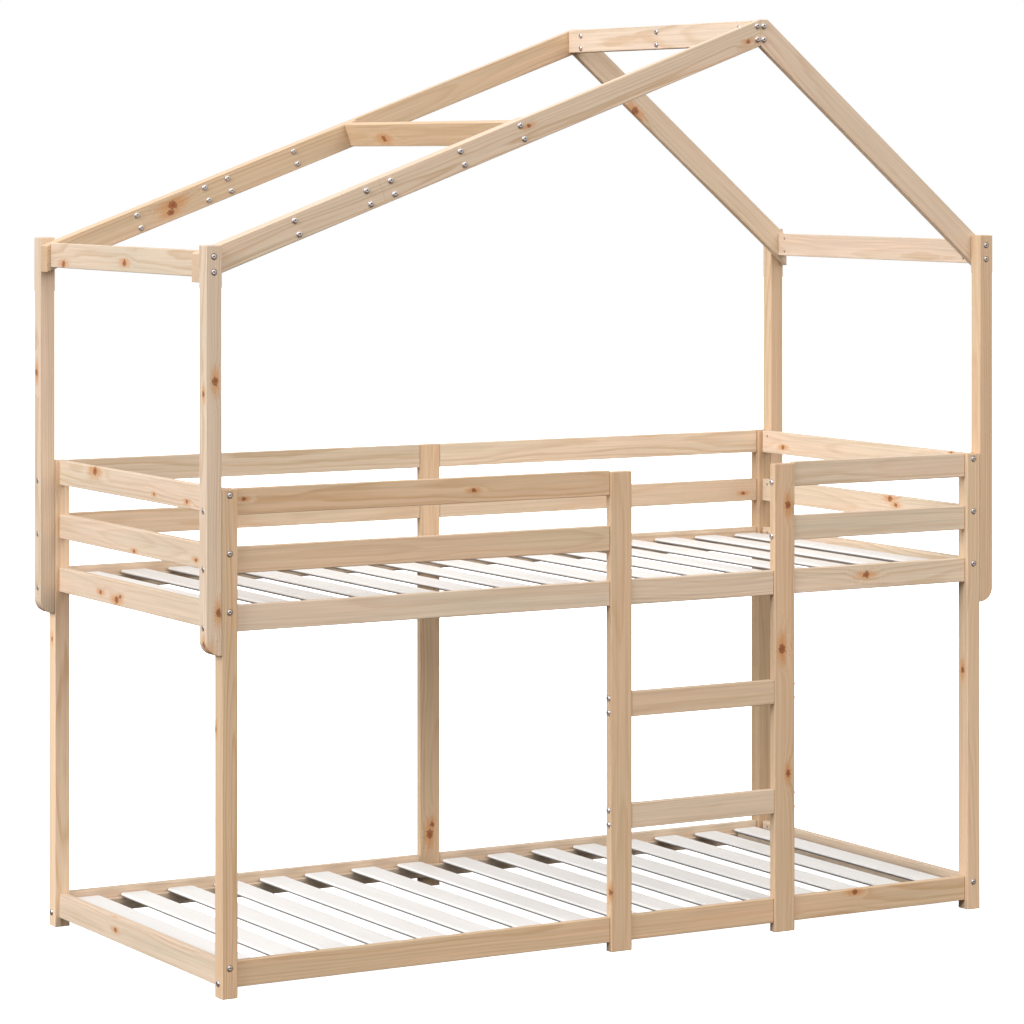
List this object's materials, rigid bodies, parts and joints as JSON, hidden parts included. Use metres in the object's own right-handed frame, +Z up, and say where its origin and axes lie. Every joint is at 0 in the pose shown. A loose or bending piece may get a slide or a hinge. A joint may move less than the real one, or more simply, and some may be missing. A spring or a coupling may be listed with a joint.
{
  "type": "bunk bed with ladder",
  "caption": "Low pine bunk bed with a house-shaped roof frame, guard rails, slatted bases and a ladder built into the front.",
  "frame": {"origin": "on the floor, at the centre of the bottom of the bounding box", "axes": "+X along the bed, towards the steep side of the roof and the ladder; +Y from the front (ladder side) to the back; +Z up"},
  "size_m": [2.1326, 0.956, 2.17],
  "materials": {
    "pine": "planed pine, clear matt finish",
    "pine_pale": "planed pale pine, clear matt finish",
    "white_slats": "matt white paint"
  },
  "bodies": {
    "root": {"leg_front_left": "pine", "leg_front_right": "pine", "leg_back_left": "pine", "leg_back_right": "pine", "roof_post_front_left": "pine", "roof_post_front_right": "pine", "roof_post_back_left": "pine", "roof_post_back_right": "pine", "ladder_upright_left": "pine", "ladder_upright_right": "pine", "back_middle_post": "pine", "front_lower_rail_left": "pine_pale", "front_lower_rail_ladder": "pine_pale", "front_lower_rail_right": "pine_pale", "front_upper_rail_left": "pine_pale", "front_upper_rail_ladder": "pine_pale", "front_upper_rail_right": "pine_pale", "front_mid_guard_left": "pine_pale", "front_top_guard_left": "pine_pale", "front_mid_guard_right": "pine_pale", "front_top_guard_right": "pine_pale", "ladder_rung_1": "pine_pale", "ladder_rung_2": "pine_pale", "back_lower_rail_left": "pine_pale", "back_lower_rail_right": "pine_pale", "back_upper_rail_left": "pine_pale", "back_upper_rail_right": "pine_pale", "back_mid_guard_left": "pine_pale", "back_mid_guard_right": "pine_pale", "back_top_guard_left": "pine_pale", "back_top_guard_right": "pine_pale", "left_end_lower_rail": "pine_pale", "left_end_upper_rail": "pine_pale", "left_end_mid_guard": "pine_pale", "left_end_top_guard": "pine_pale", "right_end_lower_rail": "pine_pale", "right_end_upper_rail": "pine_pale", "right_end_mid_guard": "pine_pale", "right_end_top_guard": "pine_pale", "lower_slat_base": "white_slats", "upper_slat_base": "white_slats", "front_long_rafter_lower": "pine", "front_long_rafter_upper": "pine", "back_long_rafter_lower": "pine", "back_long_rafter_upper": "pine", "front_rafter_splice": "pine", "back_rafter_splice": "pine", "front_short_rafter": "pine", "back_short_rafter": "pine", "ridge_board_left": "pine_pale", "ridge_board_right": "pine_pale", "left_eaves_tie": "pine_pale", "right_eaves_tie": "pine_pale", "purlin": "pine_pale"}
  },
  "joints": []
}
